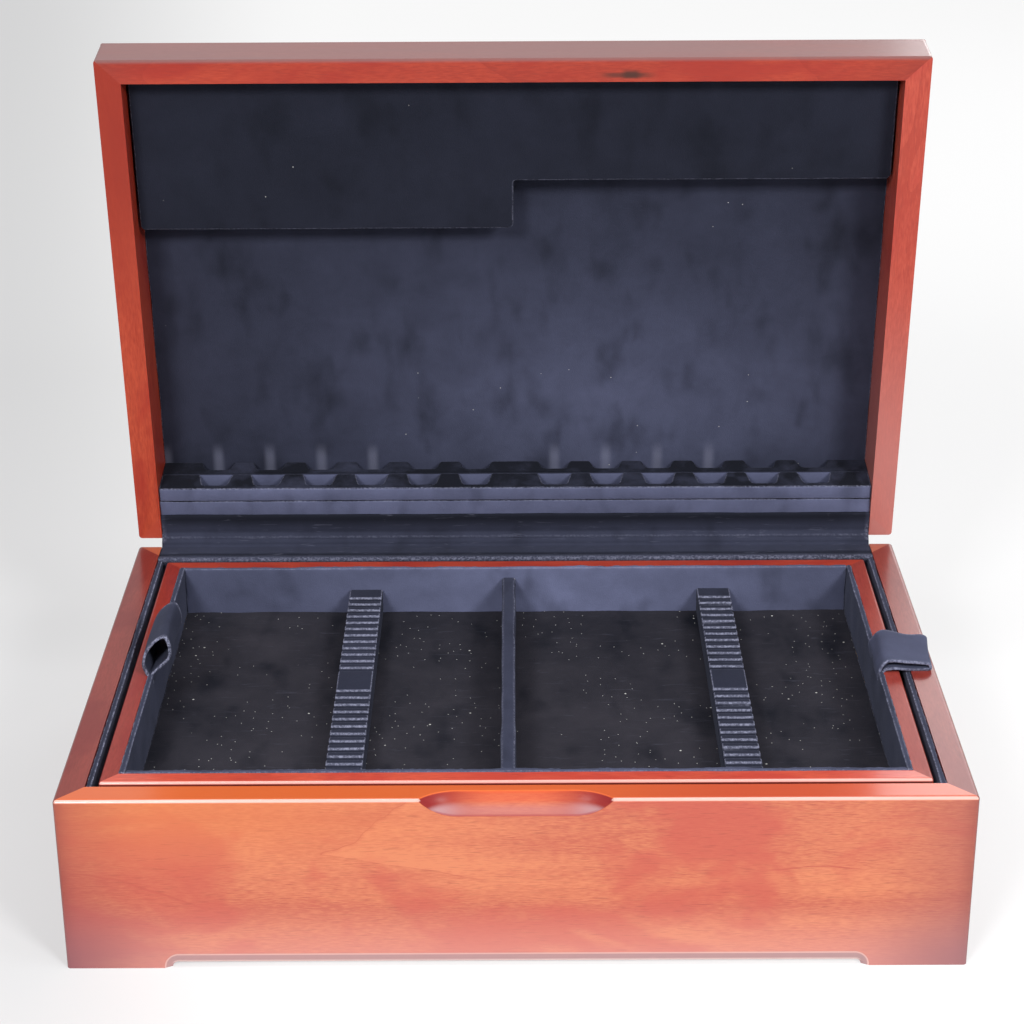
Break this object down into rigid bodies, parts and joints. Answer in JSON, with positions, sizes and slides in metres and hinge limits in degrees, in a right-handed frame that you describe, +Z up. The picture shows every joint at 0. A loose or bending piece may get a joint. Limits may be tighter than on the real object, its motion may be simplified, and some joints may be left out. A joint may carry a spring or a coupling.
{
  "type": "cutlery box",
  "caption": "Wooden cutlery box with a hinged lid, a lift-out velvet tray with ribbed racks, and a knife rack and stepped blade pocket in the lid.",
  "frame": {"origin": "middle of the whole object's footprint, lid open, on the surface it stands on", "axes": "+X to the right seen from the front, +Y from the finger pull towards the hinges, +Z up"},
  "size_m": [0.46, 0.3534, 0.4093],
  "materials": {
    "stained_wood": "red-brown stain under satin lacquer",
    "panel_board": "plain sanded board",
    "velvet": "short navy pile over board",
    "brass": "satin"
  },
  "bodies": {
    "base": {"base_front_panel": "stained_wood", "base_rear_panel": "stained_wood", "base_left_panel": "stained_wood", "base_right_panel": "stained_wood", "base_floor_panel": "panel_board", "base_foot_blocks": "panel_board", "base_floor_lining": "velvet", "base_left_lining": "velvet", "tray_ledge_left": "velvet", "base_right_lining": "velvet", "tray_ledge_right": "velvet", "base_front_lining": "velvet", "base_rear_lining": "velvet", "hinge_cover_base": "velvet", "hinge_cover_fold": "velvet", "hinge_base_screws": "brass", "hinge_left_base_leaf": "brass", "hinge_left_pin": "brass", "hinge_right_base_leaf": "brass", "hinge_right_pin": "brass"},
    "lid": {"lid_front_rail": "stained_wood", "lid_rear_rail": "stained_wood", "lid_left_rail": "stained_wood", "lid_right_rail": "stained_wood", "lid_top_panel": "stained_wood", "lid_back_lining": "velvet", "blade_pocket_flap": "velvet", "pocket_spacer_front": "velvet", "pocket_spacer_left": "velvet", "pocket_spacer_right": "velvet", "knife_rack_base": "velvet", "knife_rack_front_comb": "velvet", "knife_rack_rear_comb": "velvet", "hinge_cover_lid": "velvet", "hinge_lid_screws": "brass", "hinge_left_lid_leaf": "brass", "hinge_right_lid_leaf": "brass"},
    "tray": {"tray_front_bar": "stained_wood", "tray_rear_bar": "stained_wood", "tray_left_bar": "stained_wood", "tray_right_bar": "stained_wood", "tray_floor_panel": "panel_board", "tray_floor_lining": "velvet", "tray_left_lining": "velvet", "tray_right_lining": "velvet", "tray_front_lining": "velvet", "tray_rear_lining": "velvet", "tray_divider": "velvet", "spoon_rack_left": "velvet", "spoon_rack_right": "velvet", "pull_tab_left": "velvet", "pull_tab_right": "velvet"}
  },
  "joints": [
    {"name": "lid_hinge", "type": "hinge", "parent": "base", "child": "lid", "pos_m": [0, 0.1324, 0.09865], "axis": [1, 0, 0], "range_deg": [0, 83], "deforming": ["hinge_cover_fold", "pull_tab_right"]},
    {"name": "tray_lift", "type": "slide", "parent": "base", "child": "tray", "axis": [0, 0, 1], "range_m": [0, 0.12]}
  ]
}
